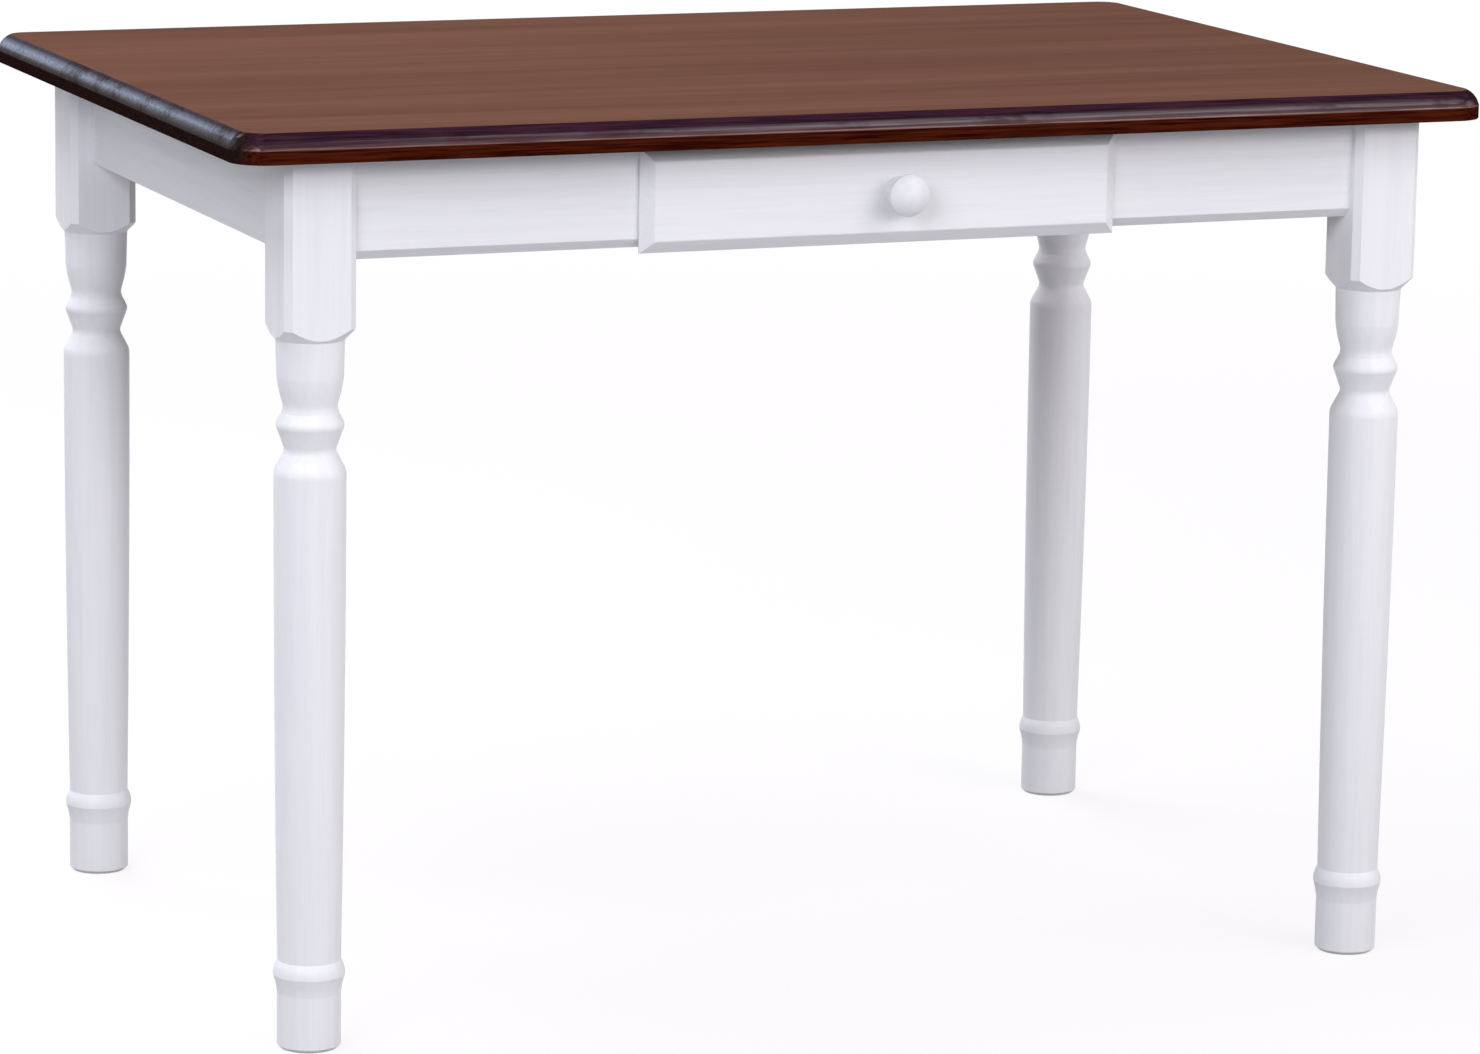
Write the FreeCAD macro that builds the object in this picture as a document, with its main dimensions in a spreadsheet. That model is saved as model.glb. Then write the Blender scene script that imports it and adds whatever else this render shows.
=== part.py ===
import FreeCAD, Part
import os
import re

from FreeCAD import Placement, Rotation, Vector
from Sketcher import Constraint

# Kitchen table with one drawer: turned legs, four aprons, a pull-out drawer and a solid top.
# X runs along the table, Y from front to back and Z up. The origin is on the floor, under the
# middle of the top. All sizes are in millimetres.

SIZES = {
    # top
    "top_length": 1140,
    "top_width": 760,
    "top_thickness": 25,
    "table_height": 780,
    "top_corner_radius": 30,
    "edge_round_inset": 11,
    "edge_round_drop": 13,
    "edge_round_bulge": 2,
    "top_lower_round": 1.2,
    # how far the top stands out over the legs
    "end_overhang": 50,
    "side_overhang": 32,
    # legs
    "leg_section": 62,
    "leg_edge_bevel": 6,
    "leg_inner_flat": 8,
    "block_length": 153,
    # turning, from the block down: each stretch's length, and how deep it is cut into the blank
    "vase_top_depth": 2.3,
    "vase_straight_length": 31,
    "vase_belly_depth": 3.2,
    "vase_round_length": 20.2,
    "vase_round_bulge": 0.5,
    "upper_neck_depth": 8.3,
    "upper_neck_length": 9.5,
    "ring_rise_length": 7.2,
    "ring_length": 7,
    "ring_depth": 2.7,
    "ring_fall_length": 13,
    "lower_neck_depth": 9.2,
    "lower_neck_length": 7.4,
    "turned_round_depth": 0.95,
    "cone_length": 12,
    "shoulder_length": 5.8,
    "shoulder_fall": 1.3,
    "shaft_top_depth": 0.8,
    "shaft_bulge": 0.7,
    "shaft_foot_depth": 4.2,
    "foot_bead_depth": 0.6,
    "foot_bead_length": 28,
    "foot_bead_rise": 12.5,
    "foot_bead_hollow": 0.5,
    "foot_depth": 4,
    "foot_height": 48,
    "foot_chamfer": 3,
    # aprons
    "apron_height": 87,
    "apron_thickness": 20,
    "front_inset": 12,
    "side_inset": 20,
    "apron_chamfer": 8,
    "apron_round": 1,
    "side_apron_round": 2,
    # drawer window in the front apron
    "window_width": 408,
    "window_height": 54,
    "window_rail": 16,
    # drawer
    "drawer_offset": 9,
    "drawer_front_lap": 14,
    "drawer_front_drop": 4,
    "drawer_front_edge": 2,
    "drawer_bevel_depth": 9,
    "drawer_bevel_width": 10.5,
    "drawer_front_round": 2,
    "drawer_top_gap": 3,
    "drawer_front_gap": 1,
    "plug_thickness": 7,
    "window_clearance": 2,
    "drawer_box_depth": 430,
    "drawer_side_thickness": 12,
    "drawer_back_thickness": 12,
    "drawer_bottom_thickness": 4,
    "drawer_bottom_height": 6,
    "groove_depth": 5,
    "drawer_travel": 300,
    "board_edge_round": 1,
    # runners
    "runner_web": 20,
    "runner_ledge": 11,
    "runner_ledge_thickness": 14,
    "runner_side_gap": 1,
    "running_gap": 0.3,
    "kicker_gap": 1.5,
    # stop under the top
    "stop_width": 30,
    "stop_thickness": 18,
    "stop_height": 25,
    "stop_gap": 0.5,
    # knob
    "knob_offset": 14,
    "knob_radius": 18.2,
    "knob_depth": 28,
    "knob_rim_start": 18.5,
    "knob_rim_width": 3.6,
    "knob_rim_round": 1,
    "knob_neck_radius": 9.5,
    "knob_neck_depth": 9.5,
    "knob_base_radius": 14.2,
    "knob_base_depth": 3,
    # corner blocks and their fasteners
    "corner_block_thickness": 28,
    "corner_block_height": 66,
    "corner_block_round": 2,
    "bolt_radius": 4,
    "bolt_spacing": 34,
    "bolt_depth_in_leg": 35,
    "bolt_tail": 4,
    "washer_radius": 8,
    "washer_thickness": 1.6,
    "nut_corner_radius": 7.5,
    "nut_height": 6.5,
    "block_screw_spacing": 40,
    "block_screw_seat": 12,
    # angle brackets under the top
    "bracket_leg": 25,
    "bracket_width": 18,
    "bracket_sheet": 2,
    "bracket_hole_distance": 16,
    "front_bracket_x": 340,
    "side_bracket_y": 120,
    # screws and dowels
    "screw_radius": 2,
    "screw_head_radius": 4,
    "screw_crown_radius": 2.8,
    "screw_head_height": 2.4,
    "screw_bite": 14,
    "counterbore_radius": 4.5,
    "runner_screw_seat": 16,
    "runner_screw_spread": 240,
    "dowel_radius": 3,
    "dowel_in_front": 10,
    "dowel_in_side_end": 16,
    "dowel_in_side_face": 8,
    "dowel_in_back": 18,
    "dowel_above_bottom": 18,
    "dowel_below_top": 10,
    "fastener_gap": 0.1,
    # how far a cutter starts outside the wood
    "cutter_margin": 5,
}

# places that several pieces share, as expressions of the sizes
UNDERSIDE = "(table_height - top_thickness)"
LEG_X = "(top_length / 2 - end_overhang - leg_section / 2)"
LEG_Y = "(top_width / 2 - side_overhang - leg_section / 2)"
LEG_INNER_X = f"({LEG_X} - leg_section / 2)"
LEG_INNER_Y = f"({LEG_Y} - leg_section / 2)"
BLOCK_BOTTOM = f"({UNDERSIDE} - block_length)"
APRON_BOTTOM = f"({UNDERSIDE} - apron_height)"
FRONT_FACE = f"({LEG_Y} + leg_section / 2 - front_inset)"
FRONT_BACK = f"({FRONT_FACE} - apron_thickness)"
SIDE_FACE = f"({LEG_X} + leg_section / 2 - side_inset)"
SIDE_BACK = f"({SIDE_FACE} - apron_thickness)"
WINDOW_BOTTOM = f"({APRON_BOTTOM} + window_rail)"
WINDOW_LEFT = "(drawer_offset - window_width / 2)"
WINDOW_RIGHT = "(drawer_offset + window_width / 2)"
BOX_LEFT = f"({WINDOW_LEFT} + window_clearance)"
BOX_RIGHT = f"({WINDOW_RIGHT} - window_clearance)"
LEDGE_TOP = f"({WINDOW_BOTTOM} + window_clearance)"
BOX_BOTTOM = f"({LEDGE_TOP} + running_gap)"
BOX_TOP = f"({WINDOW_BOTTOM} + window_height - window_clearance)"
LIP_BACK = f"(-{FRONT_FACE} - drawer_front_gap)"
DRAWER_FACE = f"({LIP_BACK} - drawer_front_edge - drawer_bevel_depth)"
BOX_FRONT = f"({LIP_BACK} + plug_thickness)"
BOX_BACK = f"({BOX_FRONT} + drawer_box_depth)"
BACK_PANEL_FRONT = f"({BOX_BACK} - drawer_back_thickness)"
GROOVE_BOTTOM = f"({BOX_BOTTOM} + drawer_bottom_height)"
GROOVE_TOP = f"({GROOVE_BOTTOM} + drawer_bottom_thickness + 2 * fastener_gap)"
FRONT_TOP = f"({UNDERSIDE} - drawer_top_gap)"
KNOB_X = "(drawer_offset + knob_offset)"
FRONT_BOTTOM = f"({APRON_BOTTOM} - drawer_front_drop)"
FRONT_LEFT = f"({WINDOW_LEFT} - drawer_front_lap)"
FRONT_RIGHT = f"({WINDOW_RIGHT} + drawer_front_lap)"
KNOB_Z = f"(({FRONT_TOP} + {FRONT_BOTTOM}) / 2)"
INNER_LEFT = f"({BOX_LEFT} + drawer_side_thickness)"
INNER_RIGHT = f"({BOX_RIGHT} - drawer_side_thickness)"
BACK_MIDDLE = f"({BOX_BACK} - drawer_back_thickness / 2)"
STOP_BACK = f"({BACK_PANEL_FRONT} - drawer_travel - stop_gap)"
APRON_MIDDLE = f"({UNDERSIDE} - apron_height / 2)"
# a leg's inner flat lies where x + y has this value, and this far from the leg's axis
FLAT_SUM = f"({LEG_INNER_X} + {LEG_INNER_Y} + leg_inner_flat)"
FLAT_DISTANCE = "((leg_section - leg_inner_flat) / sqrt(2))"
PILOT_RADIUS = "(screw_radius + fastener_gap)"
BOLT_HOLE = "(bolt_radius + fastener_gap)"
DOWEL_HOLE = "(dowel_radius + fastener_gap)"

doc = FreeCAD.newDocument("kitchen_table")
sheet = doc.addObject("Spreadsheet::Sheet", "Sizes")
for row, (alias, size) in enumerate(SIZES.items(), start=1):
    sheet.set(f"A{row}", alias)
    sheet.set(f"B{row}", str(size))
    sheet.setAlias(f"B{row}", alias)
doc.recompute()

X_AXIS = Vector(1, 0, 0)
Y_AXIS = Vector(0, 1, 0)
Z_AXIS = Vector(0, 0, 1)
bodies = []


def bound(text):
    """The expression with every size name pointing at its cell."""
    return re.sub(r"[a-z_]\w*", lambda word: ("Sizes." if word[0] in SIZES else "") + word[0], text)


def value(text):
    """The expression's number in millimetres."""
    return float(sheet.evalExpression(bound(text)))


def bind(feature, **properties):
    """Bind properties to expressions; a double underscore stands for a dot."""
    for name, text in properties.items():
        feature.setExpression(name.replace("__", "."), bound(text))


def new_body(label):
    body = doc.addObject("PartDesign::Body", label)
    body.Label = label
    bodies.append(body)
    return body


def origin_feature(body, role):
    return next(feature for feature in body.Origin.OriginFeatures if feature.Role == role)


def outline(body, role, path, offset=("0", "0", "0")):
    """A closed sketch through the corners in path.

    A corner of two expressions is reached by a straight line, and one of four by an arc that
    passes through the first pair on its way to the second.
    """
    sketch = body.newObject("Sketcher::SketchObject", body.Label + "_outline")
    sketch.AttachmentSupport = [(origin_feature(body, role), "")]
    sketch.MapMode = "FlatFace"
    bind(sketch, AttachmentOffset__Base__x=offset[0], AttachmentOffset__Base__y=offset[1],
         AttachmentOffset__Base__z=offset[2])

    def at(pair):
        return Vector(value(pair[0]), value(pair[1]), 0)

    geometry = []
    through = []
    ends = []
    for index, corner in enumerate(path):
        start = at(path[index - 1][-2:])
        end = at(corner[-2:])
        if len(corner) == 2:
            geometry.append(Part.LineSegment(start, end))
            ends.append((1, 2))
            continue
        middle = at(corner[:2])
        anticlockwise = (middle - start).cross(end - middle).z > 0
        first, last = (start, end) if anticlockwise else (end, start)
        geometry.append(Part.Arc(first, middle, last))
        ends.append((1, 2) if anticlockwise else (2, 1))
        through.append((index, corner[:2]))
    sketch.addGeometry(geometry)

    constraints = []
    texts = []

    def fix(geo, pos, pair):
        for kind, text in zip(("DistanceX", "DistanceY"), pair):
            texts.append((len(constraints), text))
            constraints.append(Constraint(kind, -1, 1, geo, pos, value(text)))

    for index, corner in enumerate(path):
        following = (index + 1) % len(path)
        constraints.append(Constraint("Coincident", index, ends[index][1], following, ends[following][0]))
        fix(index, ends[index][1], corner[-2:])
    for arc, pair in through:
        point = sketch.addGeometry(Part.Point(at(pair)), True)
        fix(point, 1, pair)
        constraints.append(Constraint("PointOnObject", point, 1, arc))
    sketch.addConstraint(constraints)
    for index, text in texts:
        sketch.setExpression(f"Constraints[{index}]", bound(text))
    return sketch


def pad(body, sketch, length, towards_normal=True):
    """A boss of the sketch's outline, which becomes part of the body."""
    feature = body.newObject("PartDesign::Pad", body.Label + "_pad")
    feature.Profile = sketch
    feature.Reversed = not towards_normal
    bind(feature, Length=length)
    doc.recompute()
    return feature


def rectangle(x_low, x_high, y_low, y_high):
    return [(x_low, y_low), (x_high, y_low), (x_high, y_high), (x_low, y_high)]


def board(label, x_range, y_range, z_range):
    """A body that starts as a rectangular board between three pairs of expressions."""
    body = new_body(label)
    add_board(body, x_range, y_range, z_range)
    return body


def add_board(body, x_range, y_range, z_range):
    sketch = outline(body, "XY_Plane", rectangle(*x_range, *y_range), ("0", "0", z_range[0]))
    return pad(body, sketch, f"{z_range[1]} - ({z_range[0]})")


def checked_cut(body, feature):
    """Recompute a cut and make sure that it took something away."""
    before = feature.BaseFeature.Shape.Volume
    doc.recompute()
    if feature.Shape.Volume >= before - 1e-6:
        raise RuntimeError(f"{feature.Label} cuts nothing from {body.Label}")
    return feature


def cut_board(body, x_range, y_range, z_range):
    """Cut a rectangular space out of a body."""
    sketch = outline(body, "XY_Plane", rectangle(*x_range, *y_range), ("0", "0", z_range[0]))
    feature = body.newObject("PartDesign::Pocket", body.Label + "_pocket")
    feature.Profile = sketch
    feature.Reversed = True
    bind(feature, Length=f"{z_range[1]} - ({z_range[0]})")
    return checked_cut(body, feature)


def edges(feature, wanted):
    """Names of the feature's edges whose box passes the test."""
    return [f"Edge{number}" for number, edge in enumerate(feature.Shape.Edges, start=1)
            if wanted(edge.BoundBox)]


def ease(body, radius, wanted):
    """Round the edges that pass the test."""
    base = body.Tip
    feature = body.newObject("PartDesign::Fillet", body.Label + "_round")
    feature.Base = (base, edges(base, wanted))
    bind(feature, Radius=radius)
    doc.recompute()
    return feature


def bevel(body, size, wanted):
    base = body.Tip
    feature = body.newObject("PartDesign::Chamfer", body.Label + "_bevel")
    feature.Base = (base, edges(base, wanted))
    bind(feature, Size=size)
    doc.recompute()
    return feature


def near(number, text):
    return abs(number - value(text)) < 1e-4


def along(axis, box):
    """Whether an edge's box is a straight run along one axis."""
    lengths = {"x": box.XLength, "y": box.YLength, "z": box.ZLength}
    return all((length > 1e-4) == (name == axis) for name, length in lengths.items())


def upright_at(box, x, y):
    """Whether an edge's box is that of the upright line at x and y."""
    return along("z", box) and near(box.XMin, x) and near(box.YMin, y)


def primitive(body, kind, point, direction, **sizes):
    """A round or prismatic primitive whose own axis starts at point and runs along direction."""
    feature = body.newObject("PartDesign::" + kind, body.Label + "_" + kind)
    feature.Placement = Placement(Vector(*map(value, point)), Rotation(Z_AXIS, direction))
    bind(feature, Placement__Base__x=point[0], Placement__Base__y=point[1],
         Placement__Base__z=point[2], **sizes)
    doc.recompute()
    return feature


def drill(body, point, direction, radius, depth):
    hole = primitive(body, "SubtractiveCylinder", point, direction, Radius=radius, Height=depth)
    return checked_cut(body, hole)


def add_screw(body, seat, direction, length):
    """A pan-head screw: the head stands back from its seat and the shank runs along direction."""
    primitive(body, "AdditiveCylinder", seat, direction, Radius="screw_radius", Height=length)
    primitive(body, "AdditiveCone", seat, -direction, Radius1="screw_head_radius",
              Radius2="screw_crown_radius", Height="screw_head_height")


def mirror_to_all_corners(body):
    for role in ("YZ_Plane", "XZ_Plane"):
        mirrored = body.newObject("PartDesign::Mirrored", body.Label + "_mirrored")
        mirrored.TransformMode = "Whole shape"
        mirrored.MirrorPlane = (origin_feature(body, role), [""])
        body.Tip = mirrored
    doc.recompute()


def signed(sign, text):
    return text if sign > 0 else f"-({text})"


def shifted(place, sign, distance):
    return f"({place} {'+' if sign > 0 else '-'} {distance})"


def ordered(sign, low, high):
    """A pair of places on the positive side, or its mirror image in rising order."""
    return (low, high) if sign > 0 else (f"-({high})", f"-({low})")


CORNERS = {
    "front_left": (-1, -1),
    "front_right": (1, -1),
    "back_left": (-1, 1),
    "back_right": (1, 1),
}


# --- top ------------------------------------------------------------------------------------

def rounded_rectangle(half_x, half_y, radius):
    """Corner arcs of a rectangle, each passed at its middle."""
    diagonal = f"{radius} * (1 - sqrt(0.5))"
    path = []
    for sign_x, sign_y, turn in ((1, -1, "y"), (1, 1, "x"), (-1, 1, "y"), (-1, -1, "x")):
        full_x, full_y = signed(sign_x, half_x), signed(sign_y, half_y)
        short_x = signed(sign_x, f"{half_x} - {radius}")
        short_y = signed(sign_y, f"{half_y} - {radius}")
        middle = (signed(sign_x, f"{half_x} - {diagonal}"), signed(sign_y, f"{half_y} - {diagonal}"))
        if turn == "y":
            path += [(short_x, full_y), (*middle, full_x, short_y)]
        else:
            path += [(full_x, short_y), (*middle, short_x, full_y)]
    return path


def make_top():
    """Solid panel with a thumbnail edge: a round that meets the flat top and the edge in arrises."""
    body = new_body("table_top")
    shape = rounded_rectangle("top_length / 2", "top_width / 2", "top_corner_radius")
    plan = outline(body, "XY_Plane", shape, ("0", "0", UNDERSIDE))
    pad(body, plan, "top_thickness")
    ease(body, "top_lower_round", lambda box: near(box.ZMin, UNDERSIDE) and near(box.ZMax, UNDERSIDE))

    edge = "-top_width / 2"
    chord = "sqrt(edge_round_inset * edge_round_inset + edge_round_drop * edge_round_drop)"
    bulge_y = f"{edge} + edge_round_inset / 2 - edge_round_bulge * edge_round_drop / {chord}"
    bulge_z = f"table_height - edge_round_drop / 2 + edge_round_bulge * edge_round_inset / {chord}"
    cutter = outline(body, "YZ_Plane", [
        (f"{edge} + edge_round_inset", "table_height + cutter_margin"),
        (f"{edge} + edge_round_inset", "table_height"),
        (bulge_y, bulge_z, edge, "table_height - edge_round_drop"),
        (f"{edge} - cutter_margin", "table_height - edge_round_drop"),
        (f"{edge} - cutter_margin", "table_height + cutter_margin"),
    ], ("0", "0", "-(top_length / 2 - top_corner_radius)"))
    round_over = body.newObject("PartDesign::SubtractivePipe", "table_top_edge")
    round_over.Profile = cutter
    round_over.Spine = (plan, [f"Edge{number}" for number in range(1, len(shape) + 1)])
    checked_cut(body, round_over)
    for sign_x in (-1, 1):
        for sign_y in (-1, 1):
            for x, y in bracket_top_screws():
                drill(body, (signed(sign_x, x), signed(sign_y, y), UNDERSIDE), Z_AXIS,
                      PILOT_RADIUS, "screw_bite")
    for x, y in runner_screws(-1) + runner_screws(1):
        drill(body, (x, y, UNDERSIDE), Z_AXIS, PILOT_RADIUS, "screw_bite")
    drill(body, ("drawer_offset", f"{STOP_BACK} - stop_thickness / 2", UNDERSIDE), Z_AXIS,
          PILOT_RADIUS, "screw_bite")


# --- legs -----------------------------------------------------------------------------------

TURNED_STEPS = ("vase_straight", "vase_round", "upper_neck", "ring_rise", "ring", "ring_fall",
                "lower_neck", "cone", "shoulder")


def turning():
    """Outline of the wood that the lathe takes away, as distance from the axis and height."""
    low = {}
    middle = {}
    height = BLOCK_BOTTOM
    for step in TURNED_STEPS:
        middle[step] = f"({height} - {step}_length / 2)"
        height = f"({height} - {step}_length)"
        low[step] = height
    radius = {name: f"(leg_section / 2 - {name}_depth)" for name in (
        "vase_top", "vase_belly", "upper_neck", "ring", "lower_neck", "shaft_top", "shaft_foot",
        "foot_bead", "foot")}
    upper_flank = f"({radius['upper_neck']} + turned_round_depth)"
    ring_flank = f"({radius['ring']} - turned_round_depth)"
    lower_flank = f"({radius['lower_neck']} + turned_round_depth)"
    bead_top = "(foot_height + foot_bead_length)"
    bead_crown = f"({bead_top} - foot_bead_rise)"
    reach = "leg_section"
    return [
        (reach, f"{BLOCK_BOTTOM} + {reach} - {radius['vase_top']}"),
        (radius["vase_top"], BLOCK_BOTTOM),
        (radius["vase_belly"], low["vase_straight"]),
        (f"({radius['vase_belly']} + {upper_flank}) / 2 + vase_round_bulge", middle["vase_round"],
         upper_flank, low["vase_round"]),
        (radius["upper_neck"], middle["upper_neck"], upper_flank, low["upper_neck"]),
        (ring_flank, low["ring_rise"]),
        (radius["ring"], middle["ring"], ring_flank, low["ring"]),
        (lower_flank, low["ring_fall"]),
        (radius["lower_neck"], middle["lower_neck"], lower_flank, low["lower_neck"]),
        (f"{radius['shaft_top']} - shoulder_fall", low["cone"]),
        (f"{radius['shaft_top']} - shoulder_fall / 4", middle["shoulder"],
         radius["shaft_top"], low["shoulder"]),
        (f"({radius['shaft_top']} + {radius['shaft_foot']}) / 2 + shaft_bulge",
         f"({low['shoulder']} + {bead_top}) / 2", radius["shaft_foot"], bead_top),
        (f"(3 * {radius['foot_bead']} + {radius['shaft_foot']}) / 4", f"{bead_top} - foot_bead_rise / 2",
         radius["foot_bead"], bead_crown),
        (f"({radius['foot_bead']} + {radius['foot']}) / 2 - foot_bead_hollow",
         f"({bead_crown} + foot_height) / 2", radius["foot"], "foot_height"),
        (radius["foot"], "foot_chamfer"),
        (f"{radius['foot']} - foot_chamfer", "0"),
        (f"{radius['foot']} - foot_chamfer", "-cutter_margin"),
        (reach, "-cutter_margin"),
    ]


def bolt_heights():
    return [f"{APRON_MIDDLE} - bolt_spacing / 2", f"{APRON_MIDDLE} + bolt_spacing / 2"]


def on_diagonal(sign_x, sign_y, distance, height):
    """A point on the line from a leg's axis towards the middle of the table."""
    return (signed(sign_x, f"{LEG_X} - {distance} / sqrt(2)"),
            signed(sign_y, f"{LEG_Y} - {distance} / sqrt(2)"), height)


def inwards(sign_x, sign_y):
    return Vector(-sign_x, -sign_y, 0).normalize()


def make_leg(place, sign_x, sign_y):
    """Square blank with bevelled edges, turned below the block, with a broad flat on its inner one."""
    x_range = ordered(sign_x, LEG_INNER_X, f"{LEG_X} + leg_section / 2")
    y_range = ordered(sign_y, LEG_INNER_Y, f"{LEG_Y} + leg_section / 2")
    body = board("leg_" + place, x_range, y_range, ("0", UNDERSIDE))

    inner = (signed(sign_x, LEG_INNER_X), signed(sign_y, LEG_INNER_Y))
    outer = [(x, y) for x in x_range for y in y_range if (x, y) != inner]
    bevel(body, "leg_inner_flat", lambda box: upright_at(box, *inner))
    bevel(body, "leg_edge_bevel", lambda box: any(upright_at(box, *corner) for corner in outer))
    sketch = outline(body, "XZ_Plane", turning(),
                     (signed(sign_x, LEG_X), "0", signed(-sign_y, LEG_Y)))
    lathe = body.newObject("PartDesign::Groove", "turning")
    lathe.Profile = sketch
    lathe.ReferenceAxis = (sketch, ["V_Axis"])
    lathe.Angle = 360
    checked_cut(body, lathe)
    for height in bolt_heights():
        start = on_diagonal(sign_x, sign_y, f"({FLAT_DISTANCE} - bolt_depth_in_leg)", height)
        drill(body, start, inwards(sign_x, sign_y), BOLT_HOLE,
              "bolt_depth_in_leg + leg_inner_flat")


# --- aprons ---------------------------------------------------------------------------------

def block_end_middle(axis):
    """Middle of the face where a corner block meets an apron, measured along that apron."""
    across = FRONT_BACK if axis == "x" else SIDE_BACK
    return f"({FLAT_SUM} - {across} - corner_block_thickness / sqrt(2))"


def block_screw_heights():
    return [f"{APRON_MIDDLE} - block_screw_spacing / 2", f"{APRON_MIDDLE} + block_screw_spacing / 2"]


def bracket_top_screws():
    """Places of the bracket screws that go up into the top, on the positive sides."""
    return [("front_bracket_x", f"({FRONT_BACK} - bracket_hole_distance)"),
            (f"({SIDE_BACK} - bracket_hole_distance)", "side_bracket_y")]


def lower_edge(axis, face):
    """Test for the apron's lower outer edge, which runs along one axis in the plane of its face."""
    side = "YMin" if axis == "x" else "XMin"
    return lambda box: (along(axis, box) and near(box.ZMin, APRON_BOTTOM)
                        and near(getattr(box, side), face))


def at_apron(axis, run, across, height):
    """The point at a distance along an apron, a distance across it and a height."""
    return (run, across, height) if axis == "x" else (across, run, height)


def drill_apron(body, sign, axis):
    """Pilot holes for the corner block screws and the bracket screws, from the inner face."""
    inner = FRONT_BACK if axis == "x" else SIDE_BACK
    outward = Y_AXIS * sign if axis == "x" else X_AXIS * sign
    bracket = "front_bracket_x" if axis == "x" else "side_bracket_y"
    holes = [(block_end_middle(axis), height) for height in block_screw_heights()]
    holes.append((bracket, f"{UNDERSIDE} - bracket_hole_distance"))
    for side in (-1, 1):
        for distance, height in holes:
            point = at_apron(axis, signed(side, distance), signed(sign, inner), height)
            drill(body, point, outward, PILOT_RADIUS, "screw_bite")


def make_long_apron(label, sign):
    y_range = ordered(sign, FRONT_BACK, FRONT_FACE)
    body = board(label, (f"-{LEG_INNER_X}", LEG_INNER_X), y_range, (APRON_BOTTOM, UNDERSIDE))
    face = signed(sign, FRONT_FACE)
    bevel(body, "apron_chamfer", lower_edge("x", face))
    ease(body, "apron_round", lambda box: along("x", box) and near(box.YMin, face)
         and near(box.ZMin, f"{APRON_BOTTOM} + apron_chamfer"))
    drill_apron(body, sign, "x")
    return body, y_range


def make_aprons():
    front, y_range = make_long_apron("apron_front", -1)
    cut_board(front, (WINDOW_LEFT, WINDOW_RIGHT), y_range,
              (WINDOW_BOTTOM, f"{WINDOW_BOTTOM} + window_height"))
    make_long_apron("apron_back", 1)
    for label, sign in (("apron_left", -1), ("apron_right", 1)):
        body = board(label, ordered(sign, SIDE_BACK, SIDE_FACE), (f"-{LEG_INNER_Y}", LEG_INNER_Y),
                     (APRON_BOTTOM, UNDERSIDE))
        ease(body, "side_apron_round", lower_edge("y", signed(sign, SIDE_FACE)))
        drill_apron(body, sign, "y")


# --- corner blocks, bolts and brackets ------------------------------------------------------

def make_corner_block(place, sign_x, sign_y):
    """Brace across the corner: its ends lie on two aprons and its face on the leg's flat."""
    inner_sum = f"({FLAT_SUM} - corner_block_thickness * sqrt(2))"
    plan = [
        (f"{FLAT_SUM} - {FRONT_BACK}", FRONT_BACK),
        (SIDE_BACK, f"{FLAT_SUM} - {SIDE_BACK}"),
        (SIDE_BACK, f"{inner_sum} - {SIDE_BACK}"),
        (f"{inner_sum} - {FRONT_BACK}", FRONT_BACK),
    ]
    body = new_body("corner_block_" + place)
    low = f"{APRON_MIDDLE} - corner_block_height / 2"
    path = [(signed(sign_x, x), signed(sign_y, y)) for x, y in plan]
    pad(body, outline(body, "XY_Plane", path, ("0", "0", low)), "corner_block_height")
    ease(body, "corner_block_round", lambda box: box.ZLength < 1e-4
         and near(abs(box.Center.x) + abs(box.Center.y), inner_sum))
    for height in bolt_heights():
        start = on_diagonal(sign_x, sign_y, f"({FLAT_DISTANCE} - leg_inner_flat)", height)
        drill(body, start, inwards(sign_x, sign_y), BOLT_HOLE,
              "corner_block_thickness + 2 * leg_inner_flat")
    for height in block_screw_heights():
        for seat, direction in block_screw_seats(sign_x, sign_y, height):
            drill(body, seat, direction, PILOT_RADIUS, "block_screw_seat")
            drill(body, seat, -direction, "counterbore_radius", "corner_block_thickness")


def block_screw_seats(sign_x, sign_y, height):
    """Seats of one block's two screws at a height, with the way that each screw points."""
    return [
        ((signed(sign_x, block_end_middle("x")), signed(sign_y, f"{FRONT_BACK} - block_screw_seat"),
          height), Y_AXIS * sign_y),
        ((signed(sign_x, f"{SIDE_BACK} - block_screw_seat"), signed(sign_y, block_end_middle("y")),
          height), X_AXIS * sign_x),
    ]


def make_corner_fasteners():
    """Hanger bolts with washers and nuts, and the screws of the blocks, at all four corners."""
    direction = inwards(1, 1)
    washer_distance = f"({FLAT_DISTANCE} + corner_block_thickness)"
    nut_distance = f"({washer_distance} + washer_thickness)"
    bolt_start = f"({FLAT_DISTANCE} - bolt_depth_in_leg)"
    bolts = new_body("hanger_bolts")
    washers = new_body("bolt_washers")
    nuts = new_body("bolt_nuts")
    for height in bolt_heights():
        primitive(bolts, "AdditiveCylinder", on_diagonal(1, 1, bolt_start, height), direction,
                  Radius="bolt_radius",
                  Height=f"{nut_distance} + nut_height + bolt_tail - {bolt_start}")
        washer = on_diagonal(1, 1, washer_distance, height)
        primitive(washers, "AdditiveCylinder", washer, direction, Radius="washer_radius",
                  Height="washer_thickness")
        drill(washers, washer, direction, BOLT_HOLE, "washer_thickness")
        nut = on_diagonal(1, 1, nut_distance, height)
        hexagon = primitive(nuts, "AdditivePrism", nut, direction, Circumradius="nut_corner_radius",
                            Height="nut_height")
        hexagon.Polygon = 6
        drill(nuts, nut, direction, BOLT_HOLE, "nut_height")
    screws = new_body("corner_block_screws")
    for height in block_screw_heights():
        for seat, towards in block_screw_seats(1, 1, height):
            add_screw(screws, seat, towards, "block_screw_seat + screw_bite")
    for body in (bolts, washers, nuts, screws):
        mirror_to_all_corners(body)


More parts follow.
